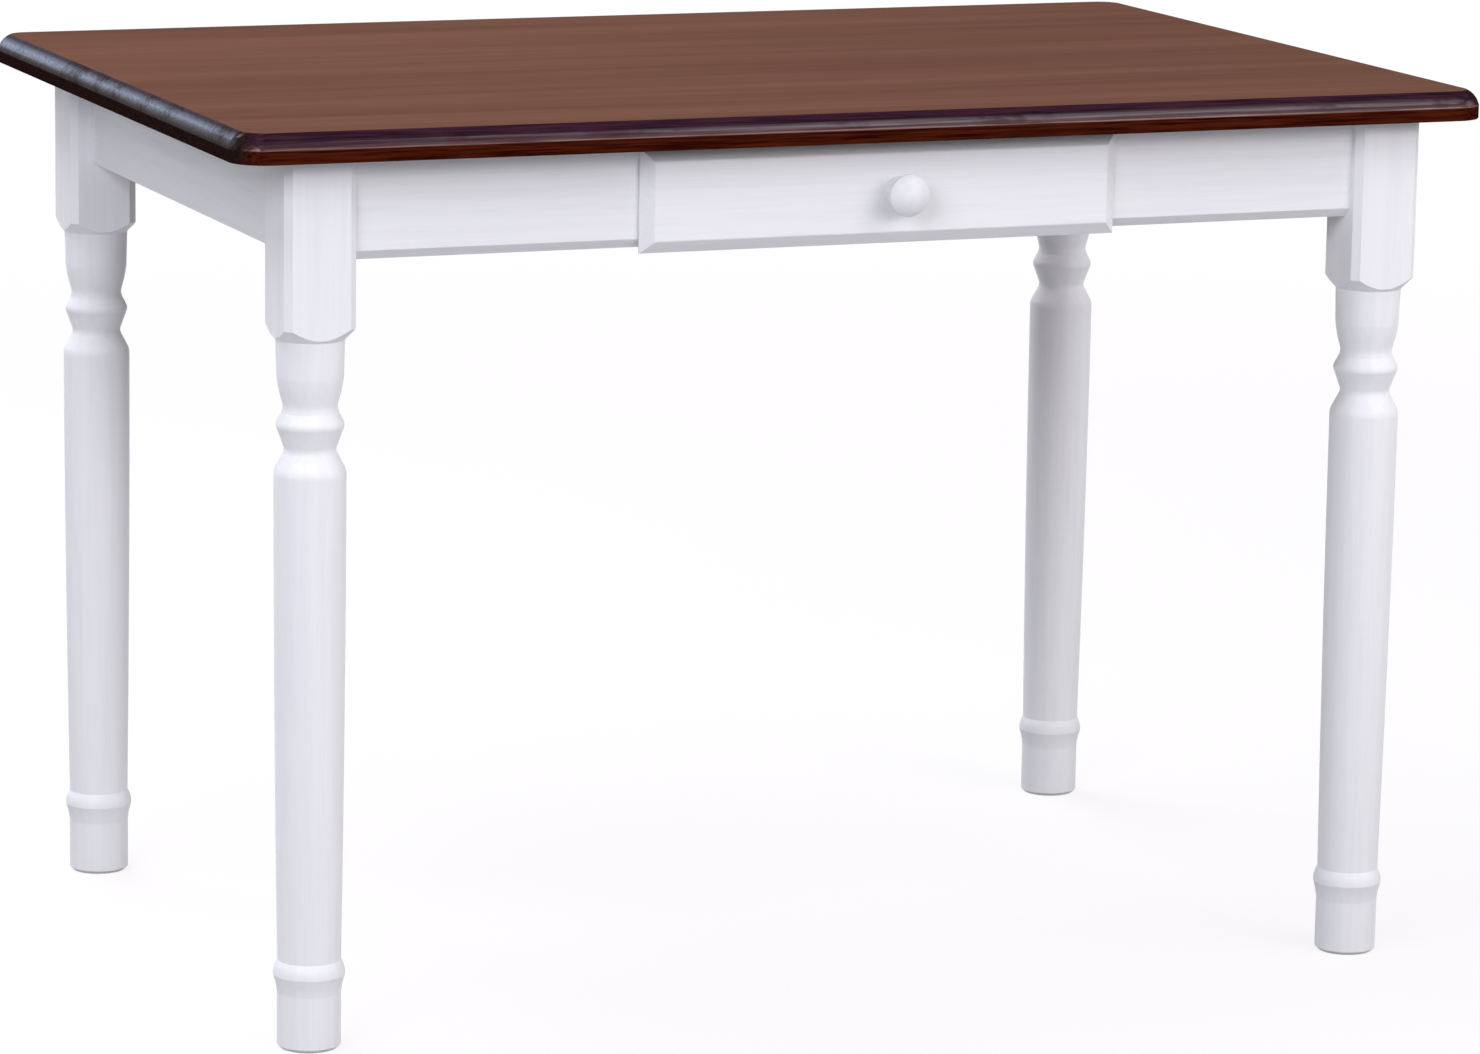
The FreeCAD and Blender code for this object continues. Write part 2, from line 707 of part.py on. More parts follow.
def make_brackets():
    """Steel angles that hold the top down on the aprons, two on each apron, with their screws."""
    brackets = new_body("top_brackets")
    screws = new_body("bracket_screws")
    low = f"{UNDERSIDE} - bracket_leg"
    hole_height = f"{UNDERSIDE} - bracket_hole_distance"
    places = (("x", FRONT_BACK, "front_bracket_x"), ("y", SIDE_BACK, "side_bracket_y"))
    for axis, inner, middle in places:
        angle = [
            (inner, low), (inner, UNDERSIDE), (f"{inner} - bracket_leg", UNDERSIDE),
            (f"{inner} - bracket_leg", f"{UNDERSIDE} - bracket_sheet"),
            (f"{inner} - bracket_sheet", f"{UNDERSIDE} - bracket_sheet"),
            (f"{inner} - bracket_sheet", low),
        ]
        edge = f"{middle} - bracket_width / 2"
        if axis == "x":
            pad(brackets, outline(brackets, "YZ_Plane", angle, ("0", "0", edge)), "bracket_width")
        else:
            flipped = outline(brackets, "XZ_Plane", angle, ("0", "0", f"-({edge})"))
            pad(brackets, flipped, "bracket_width", towards_normal=False)
        outward = Y_AXIS if axis == "x" else X_AXIS
        apron_seat = at_apron(axis, middle, f"{inner} - bracket_sheet", hole_height)
        top_seat = at_apron(axis, middle, f"{inner} - bracket_hole_distance",
                            f"{UNDERSIDE} - bracket_sheet")
        for seat, direction in ((apron_seat, outward), (top_seat, Z_AXIS)):
            drill(brackets, seat, direction, PILOT_RADIUS, "bracket_sheet")
            add_screw(screws, seat, direction, "bracket_sheet + screw_bite")
    mirror_to_all_corners(brackets)
    mirror_to_all_corners(screws)


# --- drawer ---------------------------------------------------------------------------------

def dowel_heights():
    return [f"{BOX_BOTTOM} + dowel_above_bottom", f"{BOX_TOP} - dowel_below_top"]


def drawer_side_faces(sign):
    """Outer and inner face of a drawer side."""
    return (BOX_LEFT, INNER_LEFT) if sign < 0 else (BOX_RIGHT, INNER_RIGHT)


def drawer_side_middle(sign):
    return shifted(drawer_side_faces(sign)[0], -sign, "drawer_side_thickness / 2")


def rising(sign, inner, outer):
    """The two places in rising order, for the side that sign names."""
    return (outer, inner) if sign < 0 else (inner, outer)


def make_drawer_front():
    """Bevelled front that laps the apron, with a plug behind it that fills the window."""
    body = new_body("drawer_front")
    face = rectangle(FRONT_LEFT, FRONT_RIGHT, FRONT_BOTTOM, FRONT_TOP)
    pad(body, outline(body, "XZ_Plane", face, ("0", "0", f"-{LIP_BACK}")), "drawer_front_edge")
    raised = outline(body, "XZ_Plane", face, ("0", "0", f"-{LIP_BACK} + drawer_front_edge"))
    field = pad(body, raised, "drawer_bevel_depth")
    bind(field, TaperAngle="-atan(drawer_bevel_width / drawer_bevel_depth)")
    doc.recompute()
    ease(body, "drawer_front_round", lambda box: near(box.YMin, DRAWER_FACE)
         and near(box.YMax, DRAWER_FACE))
    add_board(body, (BOX_LEFT, BOX_RIGHT), (LIP_BACK, BOX_FRONT), (LEDGE_TOP, BOX_TOP))
    cut_board(body, (f"{INNER_LEFT} - groove_depth", f"{INNER_RIGHT} + groove_depth"),
              (f"{BOX_FRONT} - groove_depth", BOX_FRONT), (GROOVE_BOTTOM, GROOVE_TOP))
    for sign in (-1, 1):
        for height in dowel_heights():
            drill(body, (drawer_side_middle(sign), BOX_FRONT, height), -Y_AXIS, DOWEL_HOLE,
                  "dowel_in_front")
    drill(body, (KNOB_X, BOX_FRONT, KNOB_Z), -Y_AXIS, PILOT_RADIUS, f"{BOX_FRONT} - {DRAWER_FACE}")


def make_drawer_box():
    """Two sides, a back and a thin bottom that lies in grooves on all four sides."""
    z_range = (BOX_BOTTOM, BOX_TOP)
    for label, sign in (("drawer_side_left", -1), ("drawer_side_right", 1)):
        outer, inner = drawer_side_faces(sign)
        body = board(label, rising(sign, inner, outer), (BOX_FRONT, BOX_BACK), z_range)
        ease(body, "board_edge_round", lambda box: along("y", box) and near(box.ZMin, BOX_TOP))
        groove = rising(sign, inner, shifted(inner, sign, "groove_depth"))
        cut_board(body, groove, (BOX_FRONT, f"{BACK_PANEL_FRONT} + groove_depth"),
                  (GROOVE_BOTTOM, GROOVE_TOP))
        for height in dowel_heights():
            drill(body, (drawer_side_middle(sign), BOX_FRONT, height), Y_AXIS, DOWEL_HOLE,
                  "dowel_in_side_end")
            drill(body, (inner, BACK_MIDDLE, height), X_AXIS * sign, DOWEL_HOLE, "dowel_in_side_face")
    back = board("drawer_back", (INNER_LEFT, INNER_RIGHT), (BACK_PANEL_FRONT, BOX_BACK), z_range)
    ease(back, "board_edge_round", lambda box: along("x", box) and near(box.ZMin, BOX_TOP))
    cut_board(back, (INNER_LEFT, INNER_RIGHT), (BACK_PANEL_FRONT, f"{BACK_PANEL_FRONT} + groove_depth"),
              (GROOVE_BOTTOM, GROOVE_TOP))
    for sign in (-1, 1):
        for height in dowel_heights():
            drill(back, (drawer_side_faces(sign)[1], BACK_MIDDLE, height), X_AXIS * -sign, DOWEL_HOLE,
                  "dowel_in_back")
    reach = "groove_depth - running_gap"
    board("drawer_bottom", (f"{INNER_LEFT} - ({reach})", f"{INNER_RIGHT} + {reach}"),
          (f"{BOX_FRONT} - ({reach})", f"{BACK_PANEL_FRONT} + {reach}"),
          (f"{GROOVE_BOTTOM} + fastener_gap", f"{GROOVE_TOP} - fastener_gap"))


def make_drawer_dowels():
    body = new_body("drawer_dowels")
    for sign in (-1, 1):
        for height in dowel_heights():
            primitive(body, "AdditiveCylinder",
                      (drawer_side_middle(sign), f"{BOX_FRONT} - dowel_in_front", height), Y_AXIS,
                      Radius="dowel_radius", Height="dowel_in_front + dowel_in_side_end")
            start = shifted(drawer_side_faces(sign)[1], sign, "dowel_in_side_face")
            primitive(body, "AdditiveCylinder", (start, BACK_MIDDLE, height), X_AXIS * -sign,
                      Radius="dowel_radius", Height="dowel_in_side_face + dowel_in_back")


def make_knob():
    """Turned mushroom knob: a foot on the drawer face, a waist and a domed head."""
    body = new_body("drawer_knob")
    rim = "(knob_radius - knob_rim_round)"
    rim_end = "(knob_rim_start + knob_rim_width)"
    rise = f"(knob_depth - {rim_end})"
    dome_radius = f"(({rim} * {rim} + {rise} * {rise}) / (2 * {rise}))"
    half_way = f"sqrt({dome_radius} * {dome_radius} - {rim} * {rim} / 4)"
    profile = [
        ("0", "0"),
        ("knob_base_radius", "0"),
        ("knob_base_radius", "-knob_base_depth"),
        ("knob_neck_radius", "-knob_neck_depth", rim, "-knob_rim_start"),
        ("knob_radius", "-knob_rim_start - knob_rim_width / 2", rim, f"-{rim_end}"),
        (f"{rim} / 2", f"{dome_radius} - knob_depth - {half_way}", "0", "-knob_depth"),
    ]
    sketch = outline(body, "XY_Plane", profile, (KNOB_X, DRAWER_FACE, KNOB_Z))
    knob = body.newObject("PartDesign::Revolution", "knob_turning")
    knob.Profile = sketch
    knob.ReferenceAxis = (sketch, ["V_Axis"])
    knob.Angle = 360
    doc.recompute()
    drill(body, (KNOB_X, DRAWER_FACE, KNOB_Z), -Y_AXIS, PILOT_RADIUS, "screw_bite")
    screw = new_body("knob_screw")
    add_screw(screw, (KNOB_X, BOX_FRONT, KNOB_Z), -Y_AXIS, f"{BOX_FRONT} - {DRAWER_FACE} + screw_bite")


# --- runners and stop -----------------------------------------------------------------------

def runner_web_inner(sign):
    """The runner's face beside the drawer."""
    return shifted(drawer_side_faces(sign)[0], sign, "runner_side_gap")


def runner_screws(sign):
    """Places of one runner's three screws."""
    x = shifted(runner_web_inner(sign), sign, "runner_web / 2")
    return [(x, y) for y in ("-runner_screw_spread", "0", "runner_screw_spread")]


def make_runners():
    """Grooved battens: the ledge carries the drawer side, and the lip above stops it tipping."""
    screws = new_body("runner_screws")
    y_range = (f"-{FRONT_BACK}", FRONT_BACK)
    for label, sign in (("drawer_runner_left", -1), ("drawer_runner_right", 1)):
        web_inner = runner_web_inner(sign)
        web_outer = shifted(web_inner, sign, "runner_web")
        ledge_edge = shifted(web_inner, -sign, "runner_ledge")
        body = board(label, rising(sign, ledge_edge, web_outer), y_range,
                     (f"{LEDGE_TOP} - runner_ledge_thickness", UNDERSIDE))
        cut_board(body, rising(sign, ledge_edge, web_inner), y_range,
                  (LEDGE_TOP, f"{BOX_TOP} + kicker_gap"))
        for x, y in runner_screws(sign):
            seat = (x, y, f"{UNDERSIDE} - runner_screw_seat")
            drill(body, seat, Z_AXIS, PILOT_RADIUS, "runner_screw_seat")
            drill(body, seat, -Z_AXIS, "counterbore_radius", "apron_height")
            add_screw(screws, seat, Z_AXIS, "runner_screw_seat + screw_bite")


def make_stop():
    """Block under the top that the drawer's back meets when the drawer is pulled out."""
    body = board("drawer_stop",
                 ("drawer_offset - stop_width / 2", "drawer_offset + stop_width / 2"),
                 (f"{STOP_BACK} - stop_thickness", STOP_BACK),
                 (f"{UNDERSIDE} - stop_height", UNDERSIDE))
    ease(body, "board_edge_round", lambda box: near(box.ZMax, f"{UNDERSIDE} - stop_height"))
    seat = ("drawer_offset", f"{STOP_BACK} - stop_thickness / 2", f"{UNDERSIDE} - stop_height")
    drill(body, seat, Z_AXIS, PILOT_RADIUS, "stop_height")
    screw = new_body("stop_screw")
    add_screw(screw, seat, Z_AXIS, "stop_height + screw_bite")


def write_parts():
    """Check every object, then write each body to its own STEP file."""
    doc.recompute()
    for item in doc.Objects:
        if {"Invalid", "Error"} & set(item.State):
            raise RuntimeError(f"{item.Label}: {item.getStatusString()}")
    os.makedirs("parts", exist_ok=True)
    for body in bodies:
        if body.Shape.isNull() or not body.Shape.isValid():
            raise RuntimeError(f"{body.Label} has no valid shape")
        body.Shape.exportStep(f"parts/{body.Label}.step")
        print(f"{body.Label}: {len(body.Shape.Solids)} solids, {body.Shape.Volume / 1000:.1f} cm3")


make_top()
for corner_name, corner_signs in CORNERS.items():
    make_leg(corner_name, *corner_signs)
make_aprons()
for corner_name, corner_signs in CORNERS.items():
    make_corner_block(corner_name, *corner_signs)
make_corner_fasteners()
make_brackets()
make_drawer_front()
make_drawer_box()
make_drawer_dowels()
make_knob()
make_runners()
make_stop()
write_parts()
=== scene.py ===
import math
import bpy
from mathutils import Euler, Matrix, Vector

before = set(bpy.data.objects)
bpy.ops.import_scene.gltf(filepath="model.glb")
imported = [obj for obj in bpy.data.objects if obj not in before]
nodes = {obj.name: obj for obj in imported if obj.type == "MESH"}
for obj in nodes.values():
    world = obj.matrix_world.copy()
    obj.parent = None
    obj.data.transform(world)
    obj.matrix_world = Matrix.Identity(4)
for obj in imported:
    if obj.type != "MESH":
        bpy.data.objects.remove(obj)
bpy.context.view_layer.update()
scene = bpy.context.scene
scene.view_settings.view_transform = "Standard"

MM = 0.001
QUARTER = math.pi / 2

# The table top, in metres: half its length and width, its corners' radius, how far its rounded edge
# reaches in from the outline, and the heights at which that round and the underside start.
TOP_HALF = (0.570, 0.380)
TOP_CORNER = 0.030
EDGE_ROUND_INSET = 0.011
ROUND_START = 0.7665
UNDERSIDE = 0.755

# Mix has several sockets of one name, so its colours and plain numbers go by their places.
NUMBER_A, NUMBER_B = 2, 3
COLOUR_A, COLOUR_B, COLOUR_OUT = 6, 7, 2

# Nearly all the values of a noise lie between these two.
NOISE_LOW, NOISE_HIGH = 0.38, 0.62


# ---------------------------------------------------------------- materials

def srgb(code):
    """Linear RGBA of an sRGB hex colour."""
    channels = [int(code[i:i + 2], 16) / 255 for i in (1, 3, 5)]
    return (*[c / 12.92 if c <= 0.04045 else ((c + 0.055) / 1.055) ** 2.4 for c in channels], 1.0)


def add(tree, kind, inputs=(), **settings):
    """Adds a node with its settings. inputs maps a socket to its value, or to the socket that
    feeds it."""
    made = tree.nodes.new(kind)
    for name, value in settings.items():
        setattr(made, name, value)
    for socket, value in dict(inputs).items():
        if isinstance(value, bpy.types.NodeSocket):
            tree.links.new(value, made.inputs[socket])
        else:
            made.inputs[socket].default_value = value
    return made


def figure(tree, place, sizes, **noise):
    """Wood figure whose features measure these millimetres along x, y and z."""
    scale = tuple(1 / (size * MM) for size in sizes)
    scaled = add(tree, "ShaderNodeMapping", {"Vector": place, "Scale": scale})
    return add(tree, "ShaderNodeTexNoise",
               {"Vector": scaled.outputs[0], "Scale": 1, **noise}).outputs[0]


def new_material(name, **constants):
    """A material with one shader, whose even values are set on its own sockets."""
    material = bpy.data.materials.new(name)
    material.use_nodes = True
    tree = material.node_tree
    tree.nodes.clear()
    shader = add(tree, "ShaderNodeBsdfPrincipled", constants)
    add(tree, "ShaderNodeOutputMaterial", {"Surface": shader.outputs[0]})
    return material, tree, shader


def feed(tree, shader, sockets):
    """Links each output to the shader's socket of that name."""
    for name, output in sockets.items():
        tree.links.new(output, shader.inputs[name])


# The top's stains, and at the foot of the edge's round a painted highlight with a painted sheen
# above it: the figure that each one follows, and its dark and light tones.
TOP_STAINS_AND_SHEEN = {
    "flat": ("grain", "#5e4035", "#6b4b3e"),
    "face": ("streaks", "#260704", "#4c1c0d"),
    "round": ("streaks", "#22101b", "#371d2a"),
    "rim": ("fibres", "#3a2027", "#553a3e"),
    "arris_highlight": ("fibres", "#4e2f2c", "#8a6a64"),
    "end": ("streaks", "#180e0d", "#2a1b19"),
    "underside": ("grain", "#41342e", "#544840"),
}

# What changes up the top's edge: between which heights, in millimetres above the start of the
# round, and from which share to which.
EDGE_CHANGES = {
    "face_to_round": (-0.5, 0.5, 0.0, 1.0),
    # The painted highlight at the foot of the round gives way to the painted sheen, and that to the
    # round's stain.
    "arris_to_rim": (0.6, 1.8, 0.0, 1.0),
    "rim_to_round": (1.8, 7.0, 0.0, 1.0),
    "end_lacquer_starts": (-1.0, 3.5, 0.0, 1.0),
    "end_lacquer_thins": (8.0, 12.0, 1.0, 0.15),
    "side_lacquer_thins": (4.0, 8.0, 1.0, 0.2),
}


def stained_top():
    """Glued pine boards, sanded and stained: walnut brown on the flat, which is nearly matte and
    where the straight grain only just tells, and a darker mahogany stain on the shaped edge,
    streaked along the boards. A pale painted highlight runs along the foot of the edge's round, and
    a pinkish painted sheen above it fades into the round's stain. Both stand for the lamps'
    reflection there. Gloss lacquer lies on the edge's round, nicked here and there and rubbed
    through at the corners, and leaves the flat and the upright face plain."""
    material, tree, shader = new_material("walnut_stained_pine", **{
        "IOR": 1.45, "Specular IOR Level": 0.0, "Coat Roughness": 0.15, "Coat IOR": 1.5})
    place = add(tree, "ShaderNodeTexCoord").outputs["Object"]
    fibres = figure(tree, place, (90, 1.3, 1.3), Detail=3, Roughness=0.6)
    bands = figure(tree, place, (420, 14, 14), Detail=3, Roughness=0.55, Distortion=0.2)
    tones = figure(tree, place, (700, 70, 70), Detail=2, Distortion=0.3)
    streaks = figure(tree, place, (60, 2.4, 1.6), Detail=3, Roughness=0.6)
    grain = 0.0
    for layer, weight in ((fibres, 0.28), (bands, 0.24), (tones, 0.48)):
        grain = add(tree, "ShaderNodeMath", {0: layer, 1: weight, 2: grain},
                    operation="MULTIPLY_ADD").outputs[0]

    shares = {}
    for name, value in (("grain", grain), ("streaks", streaks), ("fibres", fibres)):
        shares[name] = add(tree, "ShaderNodeMapRange", {
            "Value": value, "From Min": NOISE_LOW, "From Max": NOISE_HIGH}).outputs[0]
    stains_and_sheen = {}
    for part, (share, dark, light) in TOP_STAINS_AND_SHEEN.items():
        stains_and_sheen[part] = add(tree, "ShaderNodeMix", {
            "Factor": shares[share], COLOUR_A: srgb(dark), COLOUR_B: srgb(light)},
            data_type="RGBA").outputs[COLOUR_OUT]

    height = add(tree, "ShaderNodeSeparateXYZ", {0: place}).outputs[2]
    changes = {}
    for name, (low, high, before, after) in EDGE_CHANGES.items():
        changes[name] = add(tree, "ShaderNodeMapRange", {
            "Value": height, "From Min": ROUND_START + low * MM,
            "From Max": ROUND_START + high * MM, "To Min": before, "To Max": after}).outputs[0]

    # Seen from above, the distance beyond the rectangle through the corners' centres, and by how
    # much a point lies further past its ends than past its sides.
    plan = add(tree, "ShaderNodeVectorMath", {0: place, 1: (1, 1, 0)}, operation="MULTIPLY")
    plan = add(tree, "ShaderNodeVectorMath", {0: plan.outputs[0]}, operation="ABSOLUTE")
    centres = (TOP_HALF[0] - TOP_CORNER, TOP_HALF[1] - TOP_CORNER, 0)
    beyond = add(tree, "ShaderNodeVectorMath", {0: plan.outputs[0], 1: centres},
                 operation="SUBTRACT")
    outside = add(tree, "ShaderNodeVectorMath", {0: beyond.outputs[0], 1: (0, 0, 0)},
                  operation="MAXIMUM")
    corner = add(tree, "ShaderNodeVectorMath", {0: outside.outputs[0]}, operation="LENGTH")
    past = add(tree, "ShaderNodeSeparateXYZ", {0: beyond.outputs[0]})
    inside = add(tree, "ShaderNodeMath", {0: past.outputs[0], 1: past.outputs[1]},
                 operation="MAXIMUM")
    inside = add(tree, "ShaderNodeMath", {0: inside.outputs[0], 1: 0.0}, operation="MINIMUM")
    reach = add(tree, "ShaderNodeMath", {0: corner.outputs["Value"], 1: inside.outputs[0]},
                operation="ADD")
    lean = add(tree, "ShaderNodeMath", {0: past.outputs[0], 1: past.outputs[1]},
               operation="SUBTRACT")
    at_end = add(tree, "ShaderNodeMapRange", {
        "Value": lean.outputs[0], "From Min": -9 * MM, "From Max": 9 * MM}).outputs[0]
    flat_limit = TOP_CORNER - EDGE_ROUND_INSET
    on_edge = add(tree, "ShaderNodeMapRange", {
        "Value": reach.outputs[0], "From Min": flat_limit - 0.4 * MM,
        "From Max": flat_limit + 0.2 * MM}).outputs[0]
    underneath = add(tree, "ShaderNodeMapRange", {
        "Value": height, "From Min": UNDERSIDE + 0.1 * MM, "From Max": UNDERSIDE + 0.6 * MM,
        "To Min": 1.0, "To Max": 0.0}).outputs[0]

    # Up the side: the upright face's stain, a painted highlight along the foot of the round, a
    # painted sheen above it, then the round's stain.
    side = add(tree, "ShaderNodeMix", {
        "Factor": changes["arris_to_rim"], COLOUR_A: stains_and_sheen["arris_highlight"], COLOUR_B: stains_and_sheen["rim"]},
        data_type="RGBA").outputs[COLOUR_OUT]
    side = add(tree, "ShaderNodeMix", {
        "Factor": changes["face_to_round"], COLOUR_A: stains_and_sheen["face"], COLOUR_B: side},
        data_type="RGBA").outputs[COLOUR_OUT]
    side = add(tree, "ShaderNodeMix", {
        "Factor": changes["rim_to_round"], COLOUR_A: side, COLOUR_B: stains_and_sheen["round"]},
        data_type="RGBA").outputs[COLOUR_OUT]
    edge = add(tree, "ShaderNodeMix", {
        "Factor": at_end, COLOUR_A: side, COLOUR_B: stains_and_sheen["end"]},
        data_type="RGBA").outputs[COLOUR_OUT]
    upper = add(tree, "ShaderNodeMix", {
        "Factor": on_edge, COLOUR_A: stains_and_sheen["flat"], COLOUR_B: edge},
        data_type="RGBA").outputs[COLOUR_OUT]
    colour = add(tree, "ShaderNodeMix", {
        "Factor": underneath, COLOUR_A: upper, COLOUR_B: stains_and_sheen["underside"]},
        data_type="RGBA").outputs[COLOUR_OUT]

    end_lacquer = add(tree, "ShaderNodeMath", {
        0: changes["end_lacquer_starts"], 1: changes["end_lacquer_thins"]}, operation="MULTIPLY")
    side_lacquer = add(tree, "ShaderNodeMath", {
        0: changes["face_to_round"], 1: changes["side_lacquer_thins"]}, operation="MULTIPLY")
    lacquer = add(tree, "ShaderNodeMix", {
        "Factor": at_end, NUMBER_A: side_lacquer.outputs[0], NUMBER_B: end_lacquer.outputs[0]})
    chips = figure(tree, place, (9, 3.5, 5), Detail=3)
    patches = figure(tree, place, (45, 45, 45), Detail=0)
    worn = add(tree, "ShaderNodeMath", {0: chips, 1: patches}, operation="ADD")
    nicked = add(tree, "ShaderNodeMapRange", {
        "Value": worn.outputs[0], "From Min": 1.06, "From Max": 1.32, "To Min": 1.0, "To Max": 0.4})
    flowed = add(tree, "ShaderNodeMapRange", {
        "Value": fibres, "From Min": 0.35, "From Max": 0.6, "To Min": 0.45, "To Max": 1.0})
    off_corner = add(tree, "ShaderNodeMath", {0: lean.outputs[0]}, operation="ABSOLUTE")
    rubbed = add(tree, "ShaderNodeMapRange", {
        "Value": off_corner.outputs[0], "From Min": 5 * MM, "From Max": 22 * MM},
        interpolation_type="SMOOTHSTEP")
    coat = on_edge
    for share in (lacquer, nicked, flowed, rubbed):
        coat = add(tree, "ShaderNodeMath", {0: coat, 1: share.outputs[0]},
                   operation="MULTIPLY").outputs[0]

    gloss = add(tree, "ShaderNodeMapRange", {
        "Value": fibres, "From Min": 0.3, "From Max": 0.7, "To Min": 0.55, "To Max": 0.7})
    relief = add(tree, "ShaderNodeBump", {"Height": fibres, "Strength": 0.2, "Distance": 0.1 * MM})
    feed(tree, shader, {"Base Color": colour, "Coat Weight": coat, "Roughness": gloss.outputs[0],
                        "Normal": relief.outputs[0]})
    return material


def painted(name, turn, hollow_shade="#f0f0f4", ridge="#f4f4f7"):
    """Satin white paint on pine: the softer early wood shrinks back between the hard lines of late
    wood, so the grain tells as faint ridges along the piece, and the hollows between them are
    painted a little greyer as painted shade."""
    material, tree, shader = new_material(name, **{"IOR": 1.5, "Specular IOR Level": 0.12})
    place = add(tree, "ShaderNodeTexCoord").outputs["Object"]
    turned = add(tree, "ShaderNodeMapping", {"Vector": place, "Rotation": turn}).outputs[0]
    fibres = figure(tree, turned, (60, 1.4, 1.4), Detail=3, Roughness=0.6)
    rings = figure(tree, turned, (260, 7, 7), Detail=2, Distortion=0.4)
    grain = add(tree, "ShaderNodeMath", {0: fibres, 1: rings}, operation="ADD").outputs[0]
    share = add(tree, "ShaderNodeMapRange", {
        "Value": grain, "From Min": 0.8, "From Max": 1.1}).outputs[0]
    # The grain's hollows are painted a little greyer than its ridges: painted shade.
    colour = add(tree, "ShaderNodeMix", {
        "Factor": share, COLOUR_A: srgb(hollow_shade), COLOUR_B: srgb(ridge)}, data_type="RGBA")
    gloss = add(tree, "ShaderNodeMapRange", {"Value": share, "To Min": 0.52, "To Max": 0.4})
    relief = add(tree, "ShaderNodeBump", {"Height": grain, "Strength": 0.08, "Distance": 0.08 * MM})
    feed(tree, shader, {"Base Color": colour.outputs[COLOUR_OUT], "Roughness": gloss.outputs[0],
                        "Normal": relief.outputs[0]})
    return material


def bare(name, turn, pith, light="#dcbf8e", dark="#b98a52", ring=3.2):
    """Planed wood without finish: growth rings, this many millimetres apart, about the tree's
    heart, which lies outside the board. The board cuts them along as long arches and lines and
    across as curved bands, and each one darkens slowly to its late wood and ends sharply."""
    material, tree, shader = new_material(name, **{"IOR": 1.5, "Specular IOR Level": 0.35})
    place = add(tree, "ShaderNodeTexCoord").outputs["Object"]
    turned = add(tree, "ShaderNodeMapping", {
        "Vector": place, "Rotation": turn, "Location": pith}).outputs[0]
    sway = figure(tree, turned, (220, 30, 30), Detail=2)
    fibres = figure(tree, turned, (50, 0.8, 0.8), Detail=3)
    across = add(tree, "ShaderNodeVectorMath", {0: turned, 1: (0, 1, 1)}, operation="MULTIPLY")
    radius = add(tree, "ShaderNodeVectorMath", {0: across.outputs[0]}, operation="LENGTH")
    swayed = add(tree, "ShaderNodeMath", {0: sway, 1: 9 * MM, 2: radius.outputs["Value"]},
                 operation="MULTIPLY_ADD")
    years = add(tree, "ShaderNodeMath", {0: swayed.outputs[0], 1: 1 / (ring * MM)},
                operation="MULTIPLY")
    year = add(tree, "ShaderNodeMath", {0: years.outputs[0]}, operation="FRACT").outputs[0]
    late = add(tree, "ShaderNodeMapRange", {"Value": year, "From Min": 0.35, "From Max": 0.9},
               interpolation_type="SMOOTHSTEP")
    winter = add(tree, "ShaderNodeMapRange", {
        "Value": year, "From Min": 0.93, "From Max": 1.0, "To Min": 1.0, "To Max": 0.0})
    late = add(tree, "ShaderNodeMath", {0: late.outputs[0], 1: winter.outputs[0]},
               operation="MULTIPLY")
    share = add(tree, "ShaderNodeMath", {0: fibres, 1: 0.5, 2: late.outputs[0]},
                operation="MULTIPLY_ADD")
    share = add(tree, "ShaderNodeMapRange", {
        "Value": share.outputs[0], "From Min": 0.15, "From Max": 1.25}).outputs[0]
    colour = add(tree, "ShaderNodeMix", {
        "Factor": share, COLOUR_A: srgb(light), COLOUR_B: srgb(dark)}, data_type="RGBA")
    gloss = add(tree, "ShaderNodeMapRange", {"Value": share, "To Min": 0.75, "To Max": 0.55})
    relief = add(tree, "ShaderNodeBump", {"Height": share, "Strength": 0.4, "Distance": 0.1 * MM})
    feed(tree, shader, {"Base Color": colour.outputs[COLOUR_OUT], "Roughness": gloss.outputs[0],
                        "Normal": relief.outputs[0]})
    return material


def zinc():
    """Bright zinc-plated steel: a thin bluish metal coat, a little cloudy where the plating bath
    left it, in clouds of about 4 mm."""
    material, tree, shader = new_material("zinc_plated_steel", **{"Metallic": 1.0})
    place = add(tree, "ShaderNodeTexCoord").outputs["Object"]
    clouds = add(tree, "ShaderNodeTexNoise", {
        "Vector": place, "Scale": 1 / (4 * MM), "Detail": 3}).outputs[0]
    colour = add(tree, "ShaderNodeMix", {
        "Factor": clouds, COLOUR_A: srgb("#b4b8bd"), COLOUR_B: srgb("#d4d6d8")}, data_type="RGBA")
    gloss = add(tree, "ShaderNodeMapRange", {
        "Value": clouds, "From Min": 0.3, "From Max": 0.7, "To Min": 0.26, "To Max": 0.42})
    relief = add(tree, "ShaderNodeBump", {"Height": clouds, "Strength": 0.2, "Distance": 0.05 * MM})
    feed(tree, shader, {"Base Color": colour.outputs[COLOUR_OUT], "Roughness": gloss.outputs[0],
                        "Normal": relief.outputs[0]})
    return material


def dress(material, *names):
    """Gives these nodes the material in each of their slots."""
    for name in names:
        for material_slot in nodes[name].material_slots:
            material_slot.material = material


# Turns that lay a material's grain, which runs along x, along the piece instead.
ALONG_X = (0, 0, 0)
ALONG_Y = (0, 0, -QUARTER)
ALONG_Z = (0, QUARTER, 0)
RISING = (0, 0, QUARTER / 2)
FALLING = (0, 0, -QUARTER / 2)

dress(stained_top(), "table_top")
dress(painted("white_paint_on_legs", ALONG_Z),
      "leg_front_left", "leg_front_right", "leg_back_left", "leg_back_right")
dress(painted("white_paint_on_long_boards", ALONG_X), "apron_front", "apron_back", "drawer_front")
dress(painted("white_paint_on_end_boards", ALONG_Y), "apron_left", "apron_right")
